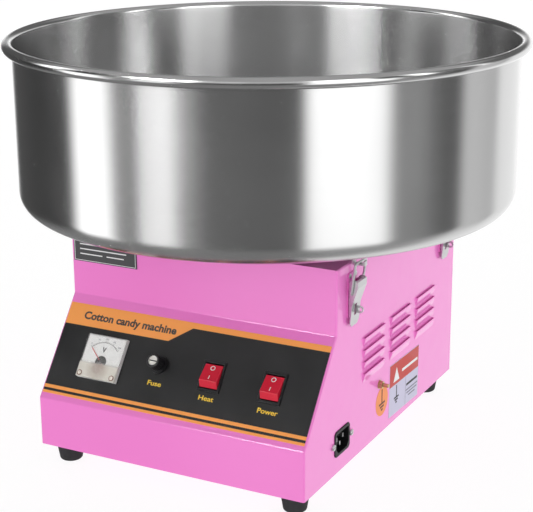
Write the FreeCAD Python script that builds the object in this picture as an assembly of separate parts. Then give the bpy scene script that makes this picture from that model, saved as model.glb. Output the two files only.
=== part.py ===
import FreeCAD, Part
import math
import os

# Cotton candy machine: a sloped sheet-steel cabinet with a wide spun bowl latched on top and a
# spinning head in the bowl's middle. Millimetres, +Z up, front towards -Y, bowl axis on Z.

V = FreeCAD.Vector

# Cabinet casing
HALF_W = 144.9
Y_FRONT = -209.3
Y_UPPER = -142.7
Y_BACK = 161.7
Z_BASE = 20.0
Z_SLOPE_LOW = 69.4
Z_SLOPE_HIGH = 158.0
Z_TOP = 221.1
SHEET = 1.2
CORNER_R, FOLD_R = 1.8, 2.6
FLANGE_W = 12.0
PLATE_Z = 20.2
FLANGE_Z = PLATE_Z + SHEET
PLATE_SCREW_X = 137.5
PLATE_SCREW_YS = (-150.0, -20.0, 100.0)

# Fasteners: shank radius, and the radius of the hole it passes
M4_R, M4_HOLE = 2.0, 2.05
M4_HEAD_R, M4_HEAD_H = 3.8, 2.4
M5_R, M5_HOLE = 2.5, 2.6
PIN_R = 1.5

# Bowl
BOWL_R = 250.3
BOWL_FLOOR = 240.6
BOWL_SHEET = 1.0
BOWL_CORNER_R = 18.6
BEAD_RING_R = 254.7
BEAD_R = 5.3
BEAD_Z = 402.8
COLLAR_R = 43.0
COLLAR_TOP = 256.0
SEAT_R = 113.2
SEAT_SCREW_R = 127.0

# Drive and spinning head
TOP_HOLE_R = 60.0
SHAFT_R = 5.0
RUNNING = 0.06
MOTOR_R = 48.0
MOTOR_LOW = 112.0
MOTOR_TOP = 204.9
MOTOR_PLATE_T = 3.0
BEARING_R = 11.0
BEARING_W = 8.0
STACK_LOW, STACK_HIGH = 132.0, 180.0
MOUNT_POS = 68.0
HEAD_R = 72.0
HEAD_FLOOR = 262.0
HEAD_TOP = 304.0
STUD_PCD_R = 40.0
LEAD_AT = 12.0
LEAD_R = 1.2
COIL_R, COIL_WIRE_R = 58.0, 3.2
COIL_ZS = (276.0, 284.5, 293.0)
HUB_R, HUB_GROOVE_R, RING_R = 20.0, 18.5, 22.0
RING_HEIGHTS = ((212.5, 218.5), (222.5, 228.5))

# Control panel, placed by distance right of the centre line and down from the slope's top edge
OVERLAY_T = 0.3
OVERLAY_FROM = 10.0
OVERLAY_TO = 105.0
METER_X = -86.8
METER_DOWN = 61.5
METER_HALF = 22.0
METER_BODY_R, METER_HOLE_R = 18.8, 19.0
METER_SCREW_U, METER_SCREW_V = 18.3, -18.6
METER_PIVOT_V = -4.4
METER_REST_DEG = 48.0
FUSE_X = -25.5
FUSE_DOWN = 56.8
FUSE_BODY_R, FUSE_HOLE_R = 6.0, 6.2
HEAT_X = 33.2
POWER_X = 97.3
SWITCH_DOWN = 58.6
SWITCH_HOLE_HALF_U, SWITCH_HOLE_HALF_V = 10.5, 14.4
ROCKER_PIVOT_N = -4.9
ROCKER_TILT_DEG = 16.0
ROCKER_HALF_W = 9.3

# Right side panel
INLET_Y = -129.0
INLET_Z = 50.0
INLET_SCREW_HALF = 20.0
INLET_HALF_Y, INLET_HALF_Z = 16.7, 13.1
INLET_CORNER_R = 4.5
EARTH_Y = -40.0
EARTH_Z = 74.0
LOUVRE_LEN = 51.0
LOUVRE_RISE = 9.5
LOUVRE_OUT = 2.4
LOUVRE_WALL = 0.9
LOUVRE_LAP = 3.8
LOUVRE_END = 1.2
LOUVRE_YS = (-56.8, 10.2, 77.2)
LOUVRE_TOPS = (136.2, 123.9, 111.7, 99.5)

# Toggle latches, drawn for the right side and mirrored
LATCH_YS = ((-111.0, "front"), (125.0, "rear"))
PIN_X, PIN_Z = 151.8, 202.5
BAIL_X, BAIL_Z = 149.8, 193.0
BAR_X, BAR_Z = 154.0, 222.5
WIRE_R = 1.3
BAIL_HALF = 12.0
EAR_IN, EAR_OUT = 7.6, 8.8
LEVER_IN, LEVER_OUT = 9.1, 10.1
RIVET_Y, RIVET_ZS = 6.0, (187.0, 209.0)
CATCH_LOW, CATCH_LIP = 219.2, 223.6
CATCH_HALF = 3.0

FOOT_X = 125.0
FOOT_YS = (-188.0, 137.0)
SIDES = (-1, 1)

nodes = {}


def node(name, *shapes):
    """A node holds one solid, or several alike ones."""
    solids = [solid for shape in shapes for solid in shape.Solids]
    nodes[name] = solids[0] if len(solids) == 1 else Part.makeCompound(solids)


def block(x0, x1, y0, y1, z0, z1):
    return Part.makeBox(x1 - x0, y1 - y0, z1 - z0, V(x0, y0, z0))


def rod(radius, z0, z1, x=0.0, y=0.0):
    return Part.makeCylinder(radius, z1 - z0, V(x, y, z0))


def rod_along(radius, start, end):
    axis = end - start
    return Part.makeCylinder(radius, axis.Length, start, axis)


def tube(outer, inner, z0, z1, x=0.0, y=0.0):
    return rod(outer, z0, z1, x, y).cut(rod(inner, z0 - 1, z1 + 1, x, y))


def hexagon(across_flats, z0, z1, x=0.0, y=0.0):
    radius = across_flats / math.sqrt(3)
    corners = [V(x + radius * math.cos(math.radians(a)), y + radius * math.sin(math.radians(a)), z0)
               for a in range(0, 361, 60)]
    return Part.Face(Part.makePolygon(corners)).extrude(V(0, 0, z1 - z0))


def prism_x(points, x0, x1):
    """Points (y, z), extruded along X."""
    loop = [V(x0, y, z) for y, z in points]
    return Part.Face(Part.makePolygon(loop + loop[:1])).extrude(V(x1 - x0, 0, 0))


def prism_y(points, y0, y1):
    """Points (x, z), extruded along Y."""
    loop = [V(x, y0, z) for x, z in points]
    return Part.Face(Part.makePolygon(loop + loop[:1])).extrude(V(0, y1 - y0, 0))


def lathe(points):
    """Points (radius, z), turned about Z."""
    loop = [V(r, 0, z) for r, z in points]
    return Part.Face(Part.makePolygon(loop + loop[:1])).revolve(V(0, 0, 0), V(0, 0, 1), 360)


def fuse(shapes):
    return shapes[0].multiFuse(shapes[1:]).removeSplitter()


def mirrored(shape):
    return shape.mirror(V(0, 0, 0), V(1, 0, 0))


def round_path(points, radius):
    """Straight runs joined by tangent arcs of one radius."""
    edges = []
    start = points[0]
    for before, corner, after in zip(points, points[1:], points[2:]):
        a = (before - corner).normalize()
        b = (after - corner).normalize()
        half = a.getAngle(b) / 2
        reach = radius / math.tan(half)
        middle = corner + (a + b).normalize() * (radius / math.sin(half) - radius)
        edges.append(Part.makeLine(start, corner + a * reach))
        edges.append(Part.Arc(corner + a * reach, middle, corner + b * reach).toShape())
        start = corner + b * reach
    edges.append(Part.makeLine(start, points[-1]))
    return Part.Wire(edges)


def round_bar(points, radius, bend):
    """A round wire of the given radius along points, bent at each corner."""
    path = round_path(points, bend)
    section = Part.Wire([Part.makeCircle(radius, points[0], points[1] - points[0])])
    return path.makePipeShell([section], True, False)


SLOPE_DEG = math.degrees(math.atan2(Z_SLOPE_HIGH - Z_SLOPE_LOW, Y_UPPER - Y_FRONT))


def on_slope(shape, x, down):
    """Moves a shape drawn at the origin, facing +Z with +Y up the panel, onto the slope."""
    placed = shape.copy()
    up = V(0, math.cos(math.radians(SLOPE_DEG)), math.sin(math.radians(SLOPE_DEG)))
    origin = V(x, Y_UPPER, Z_SLOPE_HIGH) - up * down
    placed.rotate(V(0, 0, 0), V(1, 0, 0), SLOPE_DEG)
    placed.translate(origin)
    return placed


def casing_outline(inset):
    """The casing's (y, z) section, inset from the outside."""
    lean = math.radians(90 - SLOPE_DEG)
    shift = inset * math.tan(lean / 2)
    return [(Y_FRONT + inset, Z_BASE), (Y_FRONT + inset, Z_SLOPE_LOW - shift),
            (Y_UPPER + inset, Z_SLOPE_HIGH - shift), (Y_UPPER + inset, Z_TOP - inset),
            (Y_BACK - inset, Z_TOP - inset), (Y_BACK - inset, Z_BASE)]


def louvre_curve(inset, z_top):
    """Section of a pressed hood: flush with the panel below, open at its top edge."""
    steps = 6
    points = []
    for i in range(steps + 1):
        t = i / steps
        out = (LOUVRE_OUT - inset) * math.sin(t * math.pi / 2) ** 1.5
        points.append((HALF_W + out, z_top - (LOUVRE_RISE - inset) * (1 - t)))
    return points


def louvre_hood(y_mid, z_top):
    """One pressed hood with sloping ends."""
    section = louvre_curve(0, z_top) + [(HALF_W - SHEET, z_top), (HALF_W - SHEET, z_top - LOUVRE_RISE)]
    half = LOUVRE_LEN / 2
    hood = prism_y(section, y_mid - half, y_mid + half)
    plan = [(HALF_W - SHEET, half), (HALF_W, half), (HALF_W + LOUVRE_OUT, half - LOUVRE_END)]
    plan += [(x, -y) for x, y in reversed(plan)]
    loop = [V(x, y_mid + y, z_top - LOUVRE_RISE) for x, y in plan]
    limits = Part.Face(Part.makePolygon(loop + loop[:1])).extrude(V(0, 0, LOUVRE_RISE))
    return hood.common(limits)


def louvre_gap(y_mid, z_top):
    """The hollow of a hood: its slit opens upwards, and the hole in the panel starts LOUVRE_LAP lower."""
    inside = HALF_W - SHEET - 1
    section = louvre_curve(LOUVRE_WALL, z_top) + [
        (HALF_W + LOUVRE_OUT - LOUVRE_WALL, z_top + 1), (HALF_W, z_top + 1),
        (HALF_W, z_top - LOUVRE_LAP), (inside, z_top - LOUVRE_LAP),
        (inside, z_top - LOUVRE_RISE + LOUVRE_WALL)]
    half = LOUVRE_LEN / 2 - 1.6
    return prism_y(section, y_mid - half, y_mid + half)


def rounded_plate(half_y, half_z, radius, x0, x1):
    """A plate across X at the inlet, with rounded corners."""
    plate = block(x0, x1, INLET_Y - half_y, INLET_Y + half_y, INLET_Z - half_z, INLET_Z + half_z)
    return plate.makeFillet(radius, [e for e in plate.Edges if e.BoundBox.XLength > 0.01])


def clipped_rect(half_y, half_z, clip, x0, x1):
    """A plate across X at the inlet, with two lower corners cut off."""
    points = [(-half_y, half_z), (-half_y, clip - half_z), (clip - half_y, -half_z), (half_y - clip, -half_z),
              (half_y, clip - half_z), (half_y, half_z)]
    return prism_x([(INLET_Y + y, INLET_Z + z) for y, z in points], x0, x1)


def panel_cutouts(n0, n1):
    """The openings that the slope's meter, fuse and switches pass through."""
    u, v = SWITCH_HOLE_HALF_U, SWITCH_HOLE_HALF_V
    cuts = [on_slope(rod(METER_HOLE_R, n0, n1), METER_X, METER_DOWN),
            on_slope(rod(FUSE_HOLE_R, n0, n1), FUSE_X, FUSE_DOWN)]
    for x in (HEAT_X, POWER_X):
        cuts.append(on_slope(block(-u, u, -v, v, n0, n1), x, SWITCH_DOWN))
    for side in SIDES:
        screw_hole = rod(PIN_R + 0.1, n0, n1, side * METER_SCREW_U, METER_SCREW_V)
        cuts.append(on_slope(screw_hole, METER_X, METER_DOWN))
    return cuts


def seat_screw_places():
    return [(SEAT_SCREW_R * math.cos(math.radians(a)), SEAT_SCREW_R * math.sin(math.radians(a)))
            for a in range(30, 390, 60)]


def mount_places():
    return [(sx * MOUNT_POS, sy * MOUNT_POS) for sx in SIDES for sy in SIDES]


def plate_screw_places():
    return [(side * PLATE_SCREW_X, y) for side in SIDES for y in PLATE_SCREW_YS]


def rivet_places():
    """Rivets of one latch base: (y from the latch's middle, z)."""
    return [(side * RIVET_Y, z) for side in SIDES for z in RIVET_ZS]


def cabinet_shell():
    outer = prism_x(casing_outline(0), -HALF_W, HALF_W)
    outer = outer.makeFillet(FOLD_R, [e for e in outer.Edges if e.BoundBox.XLength > 1
                                      and e.BoundBox.YMax < 0 and Z_BASE + 1 < e.BoundBox.ZMax < Z_TOP - 1])
    rim = [e for e in outer.Edges if e.BoundBox.XLength < 0.01 and e.BoundBox.ZMax > Z_BASE + 0.01]
    outer = outer.makeFillet(CORNER_R, rim)
    hoods = [louvre_hood(y, z) for y in LOUVRE_YS for z in LOUVRE_TOPS]
    outer = fuse([outer] + hoods + [mirrored(h) for h in hoods])
    inner = prism_x(casing_outline(SHEET), -HALF_W + SHEET, HALF_W - SHEET)
    flange = block(-HALF_W, HALF_W, Y_FRONT, Y_BACK, FLANGE_Z, FLANGE_Z + SHEET).cut(
        block(-HALF_W + FLANGE_W + SHEET, HALF_W - FLANGE_W - SHEET, Y_FRONT + FLANGE_W + SHEET,
              Y_BACK - FLANGE_W - SHEET, 0, Z_TOP))
    cuts = panel_cutouts(-8, 8)
    cuts.append(rod(TOP_HOLE_R, Z_TOP - 5, Z_TOP + 5))
    cuts += [rod(M4_HOLE, Z_TOP - 5, Z_TOP + 5, x, y) for x, y in seat_screw_places()]
    cuts += [rod(M5_HOLE, Z_TOP - 5, Z_TOP + 5, x, y) for x, y in mount_places()]
    cuts += [rod(M4_HOLE, PLATE_Z - 1, PLATE_Z + 5, x, y) for x, y in plate_screw_places()]
    gaps = [louvre_gap(y, z) for y in LOUVRE_YS for z in LOUVRE_TOPS]
    cuts += gaps + [mirrored(g) for g in gaps]
    cuts.append(rounded_plate(INLET_HALF_Y + 0.1, INLET_HALF_Z + 0.1, INLET_CORNER_R, HALF_W - 5, HALF_W + 5))
    for side in SIDES:
        y = INLET_Y + side * INLET_SCREW_HALF
        cuts.append(rod_along(PIN_R + 0.05, V(HALF_W - 5, y, INLET_Z), V(HALF_W + 5, y, INLET_Z)))
    cuts.append(rod_along(M4_HOLE, V(HALF_W - 5, EARTH_Y, EARTH_Z), V(HALF_W + 5, EARTH_Y, EARTH_Z)))
    for x_side in SIDES:
        for latch_y, _ in LATCH_YS:
            for dy, z in rivet_places():
                y = latch_y + dy
                cuts.append(rod_along(PIN_R, V(x_side * (HALF_W - 3), y, z), V(x_side * (HALF_W + 1), y, z)))
    shell = fuse([outer.cut(inner), flange.common(outer)])
    return shell.cut(Part.makeCompound(cuts))


def bottom_plate():
    gap = 0.3
    x = HALF_W - SHEET - gap
    plate = block(-x, x, Y_FRONT + SHEET + gap, Y_BACK - SHEET - gap, PLATE_Z, PLATE_Z + SHEET)
    holes = [rod(M4_HOLE, PLATE_Z - 1, PLATE_Z + 3, x, y) for x, y in plate_screw_places()]
    holes += [rod(M4_HOLE, PLATE_Z - 1, PLATE_Z + 3, sx * FOOT_X, y) for sx in SIDES for y in FOOT_YS]
    return plate.cut(Part.makeCompound(holes))


def rubber_foot(x, y):
    top_r, low_r, dome = 14.3, 11.0, 3.0
    recess_r, recess_top = 5.0, 8.0
    body = Part.makeCone(low_r, top_r, PLATE_Z, V(x, y, 0))
    low_edge = [e for e in body.Edges if e.BoundBox.ZMax < 0.01]
    body = body.makeFillet(dome, low_edge)
    return body.cut(rod(recess_r, -1, recess_top, x, y)).cut(rod(M4_HOLE, 7, PLATE_Z + 1, x, y))


def pan_screw(x, y, head_low, shank_top):
    """A pan-head M4 screw driven up from below."""
    head = rod(M4_HEAD_R, head_low, head_low + M4_HEAD_H, x, y)
    head = head.makeFillet(1.2, [e for e in head.Edges if e.BoundBox.ZMax < head_low + 0.01])
    cross = fuse([block(x - 2, x + 2, y - 0.4, y + 0.4, head_low - 1, head_low + 1.2),
                  block(x - 0.4, x + 0.4, y - 2, y + 2, head_low - 1, head_low + 1.2)])
    return fuse([head.cut(cross), rod(M4_R, head_low + M4_HEAD_H, shank_top, x, y)])


def base_screws():
    screws = [pan_screw(x, y, PLATE_Z - M4_HEAD_H, PLATE_Z + 7) for x, y in plate_screw_places()]
    screws += [pan_screw(sx * FOOT_X, y, 5.6, PLATE_Z + 9) for sx in SIDES for y in FOOT_YS]
    return screws


def control_overlay():
    height = OVERLAY_TO - OVERLAY_FROM
    film = block(-HALF_W + CORNER_R, HALF_W - CORNER_R, -height, 0, 0, OVERLAY_T)
    return on_slope(film, 0, OVERLAY_FROM).cut(Part.makeCompound(panel_cutouts(-2, 2)))


def voltmeter():
    front, top, wall = 4.0, 6.3, 1.0
    half, inside = METER_HALF, METER_HALF - wall
    pocket_r, needle_r, screw_head_r = 6.2, 0.5, 1.9
    case = fuse([block(-half, half, -half, half, OVERLAY_T, front), rod(METER_BODY_R, -26, OVERLAY_T)])
    pocket = rod(pocket_r, front - 2, front + 1, 0, METER_PIVOT_V)
    bush = rod(needle_r + RUNNING, front - 6, front, 0, METER_PIVOT_V)
    dial = block(-inside, inside, -inside, inside, front, front + 0.4).cut(
        rod(pocket_r, front - 1, front + 2, 0, METER_PIVOT_V))
    cover = block(-half, half, -half, half, front, top)
    cover = cover.makeFillet(0.6, [e for e in cover.Edges if e.BoundBox.ZMin > top - 0.01])
    cover = cover.cut(block(-inside, inside, -inside, inside, front - 1, top - 0.9))
    needle = fuse([rod(needle_r, front - 5, front + 1.1, 0, METER_PIVOT_V),
                   rod(2.2, front + 0.7, front + 1.1, 0, METER_PIVOT_V),
                   block(-0.35, 0.35, METER_PIVOT_V - 5, METER_PIVOT_V + 18.5, front + 0.7, front + 1.1)])
    needle.rotate(V(0, METER_PIVOT_V, 0), V(0, 0, 1), METER_REST_DEG)
    screws, holes = [], []
    for side in SIDES:
        u, v = side * METER_SCREW_U, METER_SCREW_V
        screws.append(fuse([rod(screw_head_r, top, top + 0.6, u, v), rod(PIN_R, -5, top, u, v)]))
        holes.append(rod(PIN_R, -30, top + 1, u, v))
    holes = Part.makeCompound(holes)
    for name, shape in (("voltmeter_case", case.cut(pocket).cut(bush).cut(holes)),
                        ("voltmeter_dial", dial.cut(holes)), ("voltmeter_window", cover.cut(holes)),
                        ("voltmeter_needle", needle)):
        node(name, on_slope(shape, METER_X, METER_DOWN))
    return [on_slope(s, METER_X, METER_DOWN) for s in screws]


def fuse_holder():
    flange_top, collar_top, cap_low, cap_top = 2.3, 4.4, 4.7, 14.3
    bore, bore_low = 4.4, -30.0
    body = fuse([rod(9.0, OVERLAY_T, flange_top), rod(7.2, flange_top, collar_top),
                 rod(FUSE_BODY_R, -33, OVERLAY_T)])
    body = body.cut(rod(bore, bore_low, collar_top + 1))
    nut = hexagon(17, -SHEET - 3.5, -SHEET).cut(rod(FUSE_BODY_R, -20, 5))
    grip = rod(6.7, cap_low, cap_top)
    grip = grip.makeFillet(0.9, [e for e in grip.Edges if e.BoundBox.ZMin > cap_top - 0.01])
    flutes = []
    for i in range(16):
        angle = math.radians(i * 22.5)
        flutes.append(rod(0.5, cap_low - 1, cap_top - 2, 6.9 * math.cos(angle), 6.9 * math.sin(angle)))
    cap = fuse([grip.cut(Part.makeCompound(flutes)), rod(bore - 0.3, -1, cap_low)])
    cap = cap.cut(rod(4.6, cap_top - 0.8, cap_top + 1)).cut(block(-4, 4, -0.6, 0.6, cap_top - 2, cap_top))
    cap = cap.cut(rod(2.6, -2, 2))
    link = rod(2.5, -21, 2)
    for name, shape in (("fuse_holder_body", body), ("fuse_holder_nut", nut), ("fuse_cap", cap),
                        ("fuse_link", link)):
        node(name, on_slope(shape, FUSE_X, FUSE_DOWN))


def rocker_switch(name, x):
    bezel_top, lip_v, cavity_v, floor_n = 2.0, 12.6, 13.6, -24.0
    wall_x, outer_x, outer_v = 9.6, 10.4, 14.3
    rocker_r, face_half, rocker_pin_r = 13.28, 8.9, 1.6
    housing = fuse([block(-11.75, 11.75, -15.2, 15.2, OVERLAY_T, bezel_top),
                    block(-outer_x, outer_x, -outer_v, outer_v, floor_n, OVERLAY_T)])
    edges = [e for e in housing.Edges if e.BoundBox.ZMin > bezel_top - 0.01]
    housing = housing.makeFillet(0.6, edges)
    housing = housing.cut(block(-wall_x, wall_x, -lip_v, lip_v, 0, bezel_top + 1))
    housing = housing.cut(block(-wall_x, wall_x, -cavity_v, cavity_v, floor_n + 1.5, OVERLAY_T))
    pivot = V(0, 0, ROCKER_PIVOT_N)
    stub = ROCKER_HALF_W + 0.9
    reach = V(outer_x + 1, 0, 0)
    housing = housing.cut(rod_along(rocker_pin_r + RUNNING, pivot - reach, pivot + reach))
    face_n = math.sqrt(rocker_r ** 2 - face_half ** 2)
    end_v, end_n = rocker_r * math.cos(math.radians(12.5)), rocker_r * math.sin(math.radians(12.5))
    side = [(face_half, face_n), (end_v, end_n), (9.0, 0.0), (4.0, -4.0)]
    outline = side + [(-v, n) for v, n in reversed(side)]
    paddle = prism_x([(v, n + ROCKER_PIVOT_N) for v, n in outline], -ROCKER_HALF_W, ROCKER_HALF_W)
    crisp = [e for e in paddle.Edges if e.BoundBox.ZMin > ROCKER_PIVOT_N + end_n - 0.01]
    paddle = paddle.makeFillet(0.5, crisp)
    paddle = fuse([paddle, rod_along(rocker_pin_r, pivot - V(stub, 0, 0), pivot + V(stub, 0, 0))])
    paddle.rotate(pivot, V(1, 0, 0), -ROCKER_TILT_DEG)
    node(name + "_switch_housing", on_slope(housing, x, SWITCH_DOWN))
    node(name + "_rocker", on_slope(paddle, x, SWITCH_DOWN))
    blades = [block(bx - 3.15, bx + 3.15, bv - 0.4, bv + 0.4, floor_n - 10, floor_n)
              for bx in (-5.0, 5.0) for bv in (-7.0, 7.0)]
    return [on_slope(b, x, SWITCH_DOWN) for b in blades]


def name_plate():
    plate = block(-142.0, -69.0, Y_UPPER - 1.0, Y_UPPER, 192.5, 219.5)
    return plate.makeFillet(0.3, [e for e in plate.Edges if e.BoundBox.YMax < Y_UPPER - 0.99])


def safety_label():
    label = block(HALF_W, HALF_W + 0.2, -39.0, 39.0, -28.0, 28.0)
    label.rotate(V(0, 0, 0), V(1, 0, 0), -1.5)
    label.translate(V(0, 24.5, 54.5))
    return label


def earth_parts():
    face = V(HALF_W, EARTH_Y, EARTH_Z)
    sticker_mid = V(HALF_W, -33.5, 53.6)
    node("earth_sticker", rod_along(15.2, sticker_mid, sticker_mid + V(0.2, 0, 0)))
    nut_h, washer_t, stud_out = 3.2, 0.8, 10.0
    stud = rod_along(M4_R, face - V(9, 0, 0), face + V(stud_out, 0, 0))
    stud = stud.makeChamfer(0.5, [e for e in stud.Edges if e.BoundBox.XMin > HALF_W + stud_out - 0.1])
    hex_nut = hexagon(7.0, 0, nut_h).cut(rod(M4_R, -1, nut_h + 1))
    hex_nut.rotate(V(0, 0, 0), V(0, 1, 0), 90)
    washer = tube(4.5, M4_R, 0, washer_t)
    washer.rotate(V(0, 0, 0), V(0, 1, 0), 90)
    for shape, out in ((washer, 0.0), (hex_nut, washer_t)):
        shape.translate(face + V(out, 0, 0))
    inner_nut = hex_nut.copy()
    inner_nut.translate(V(-SHEET - washer_t - nut_h, 0, 0))
    node("earth_screw", stud, washer, hex_nut, inner_nut)


def power_inlet():
    back = HALF_W - SHEET
    wall, head_r, head_out = 3.1, 3.2, 2.2
    rim = rounded_plate(INLET_HALF_Y, INLET_HALF_Z, INLET_CORNER_R, back - 1, HALF_W + 1.0)
    rim = rim.makeFillet(0.5, [e for e in rim.Edges if e.BoundBox.XMin > HALF_W + 0.99])
    flange = block(back - 3, back, INLET_Y - 25, INLET_Y + 25, INLET_Z - 13.5, INLET_Z + 13.5)
    body = fuse([rim, flange, clipped_rect(15.2, 11.5, 5.0, back - 22, back - 2)])
    recess = clipped_rect(INLET_HALF_Y - wall, INLET_HALF_Z - wall, 4.5, back - 18, HALF_W + 3)
    body = body.cut(recess.makeFillet(1.5, [e for e in recess.Edges if e.BoundBox.XLength > 1]))
    pins, holes = [], []
    for dy, dz in ((-7.0, 2.0), (7.0, 2.0), (0.0, -3.5)):
        y, z = INLET_Y + dy, INLET_Z + dz
        pins.append(block(back - 28, HALF_W - 2, y - 1.0, y + 1.0, z - 2.0, z + 2.0))
    for side in SIDES:
        y = INLET_Y + side * INLET_SCREW_HALF
        holes.append(rod_along(PIN_R, V(back - 5, y, INLET_Z), V(back + 1, y, INLET_Z)))
    node("inlet_housing", body.cut(Part.makeCompound(pins + holes)))
    node("inlet_pins", *pins)
    screws = []
    for side in SIDES:
        at = V(HALF_W, INLET_Y + side * INLET_SCREW_HALF, INLET_Z)
        head = rod_along(head_r, at, at + V(head_out, 0, 0))
        head = head.makeFillet(1.0, [e for e in head.Edges if e.BoundBox.XMin > HALF_W + head_out - 0.01])
        slot = block(at.x + head_out - 0.9, at.x + 3, at.y - 4, at.y + 4, at.z - 0.35, at.z + 0.35)
        screws.append(fuse([head.cut(slot), rod_along(PIN_R, at - V(8, 0, 0), at)]))
    return screws


def latch_base():
    face = HALF_W + SHEET
    half, low, high = 9.4, 168.0, 211.8
    eye_x, eye_z, eye_r, eye_hole_r, eye_half = 154.0, 176.0, 3.6, 1.9, 0.75
    plate = block(HALF_W, face, -half, half, low, high)
    corners = [e for e in plate.Edges if e.BoundBox.YLength < 0.01 and e.BoundBox.ZLength < 0.01]
    plate = plate.makeFillet(3.0, corners)
    ears = []
    for y0, y1 in ((EAR_IN, EAR_OUT), (-EAR_OUT, -EAR_IN)):
        web = prism_y([(face - 0.5, 196), (face - 0.5, 202.8), (PIN_X - 0.8, PIN_Z + 2.8),
                       (PIN_X, PIN_Z + 2.85), (PIN_X, PIN_Z - 2.85)], y0, y1)
        ears += [web, rod_along(2.9, V(PIN_X, y0, PIN_Z), V(PIN_X, y1, PIN_Z))]
    eye = fuse([prism_y([(face - 0.5, eye_z - eye_r + 0.1), (face - 0.5, eye_z + eye_r - 0.1),
                         (eye_x, eye_z + eye_r - 0.2), (eye_x, eye_z - eye_r + 0.2)], -eye_half, eye_half),
                rod_along(eye_r, V(eye_x, -eye_half, eye_z), V(eye_x, eye_half, eye_z))])
    eye = eye.cut(rod_along(eye_hole_r, V(eye_x, -2, eye_z), V(eye_x, 2, eye_z)))
    base = fuse([plate, eye] + ears)
    cuts = [rod_along(PIN_R, V(PIN_X, -20, PIN_Z), V(PIN_X, 20, PIN_Z))]
    cuts += [rod_along(PIN_R, V(HALF_W - 1, dy, z), V(face + 1, dy, z)) for dy, z in rivet_places()]
    return base.cut(Part.makeCompound(cuts))


def latch_rivets():
    face = HALF_W + SHEET
    head_r = 2.4
    rivets = []
    for dy, z in rivet_places():
        head = rod_along(head_r, V(face, dy, z), V(face + 1.0, dy, z))
        head = head.makeFillet(0.8, [e for e in head.Edges if e.BoundBox.XMin > face + 0.99])
        rivets.append(fuse([head, rod_along(PIN_R, V(HALF_W - 2.2, dy, z), V(face, dy, z))]))
    return rivets


def latch_lever():
    """A channel of sheet: its web runs down the outside and its sides hold the pin and the bail."""
    top, tip_z, boss_r = 205.2, 160.0, 4.2
    outer = [(156.0, top), (156.0, 199.0), (149.9, 181.0), (148.2, tip_z)]
    inner = [(155.0, top), (155.0, 199.25), (148.95, 181.2), (147.2, tip_z)]
    web = prism_y(outer + inner[::-1], -LEVER_OUT, LEVER_OUT)
    tip = [e for e in web.Edges if e.BoundBox.YLength < 0.01 and e.BoundBox.ZMax < tip_z + 0.1]
    web = web.makeChamfer(4.0, tip)
    sides = []
    for y0, y1 in ((LEVER_IN, LEVER_OUT), (-LEVER_OUT, -LEVER_IN)):
        flank = prism_y(outer[:3] + [(149.0, 168.0), (147.3, 171.0), (147.3, 199.0), (147.6, PIN_Z),
                                     (PIN_X, top)], y0, y1)
        sides += [flank, rod_along(boss_r, V(PIN_X, y0, PIN_Z), V(PIN_X, y1, PIN_Z))]
    lever = fuse([web] + sides)
    cuts = [rod_along(PIN_R + RUNNING, V(PIN_X, -20, PIN_Z), V(PIN_X, 20, PIN_Z)),
            rod_along(WIRE_R + RUNNING, V(BAIL_X, -20, BAIL_Z), V(BAIL_X, 20, BAIL_Z)),
            block(140, 160, -2.3, 2.3, 170.3, 181.6)]
    return lever.cut(Part.makeCompound(cuts))


def latch_bail():
    stub = EAR_OUT + 0.1
    points = [V(BAIL_X, -stub, BAIL_Z), V(BAIL_X, -BAIL_HALF, BAIL_Z), V(BAR_X, -BAIL_HALF, BAR_Z),
              V(BAR_X, BAIL_HALF, BAR_Z), V(BAIL_X, BAIL_HALF, BAIL_Z), V(BAIL_X, stub, BAIL_Z)]
    return round_bar(points, WIRE_R, 1.8)


def bowl_catch():
    t, root_x, drop_x, lip_x = 1.5, 128.0, 148.0, 159.1
    outer = [(root_x, BOWL_FLOOR - t), (drop_x - t, BOWL_FLOOR - t), (drop_x - t, CATCH_LOW),
             (lip_x, CATCH_LOW), (lip_x, CATCH_LIP), (lip_x - t, CATCH_LIP), (lip_x - t, CATCH_LOW + t),
             (drop_x, CATCH_LOW + t), (drop_x, BOWL_FLOOR), (root_x, BOWL_FLOOR)]
    catch = prism_y(outer, -CATCH_HALF, CATCH_HALF)
    lip = [e for e in catch.Edges if e.BoundBox.YLength > CATCH_HALF and e.BoundBox.XMin > lip_x - t - 0.1
           and e.BoundBox.ZMin > CATCH_LIP - 0.1]
    return catch.makeFillet(0.6, lip)


def latches():
    """Each latch, its parts mirrored and moved to the four places."""
    bases, rivets, pins, catches = [], [], [], []
    lever, bail = latch_lever(), latch_bail()
    pin = rod_along(PIN_R, V(PIN_X, -LEVER_OUT - 0.2, PIN_Z), V(PIN_X, LEVER_OUT + 0.2, PIN_Z))
    for x_side, x_word in ((1, "right"), (-1, "left")):
        for latch_y, y_word in LATCH_YS:

            def placed(shape):
                copy = shape.copy() if x_side > 0 else mirrored(shape)
                copy.translate(V(0, latch_y, 0))
                return copy

            bases.append(placed(latch_base()))
            rivets += [placed(r) for r in latch_rivets()]
            pins.append(placed(pin))
            catches.append(placed(bowl_catch()))
            node("lever_" + y_word + "_" + x_word, placed(lever))
            node("bail_" + y_word + "_" + x_word, placed(bail))
    node("latch_bases", *bases)
    node("latch_rivets", *rivets)
    node("latch_pins", *pins)
    node("bowl_catches", *catches)


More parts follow.
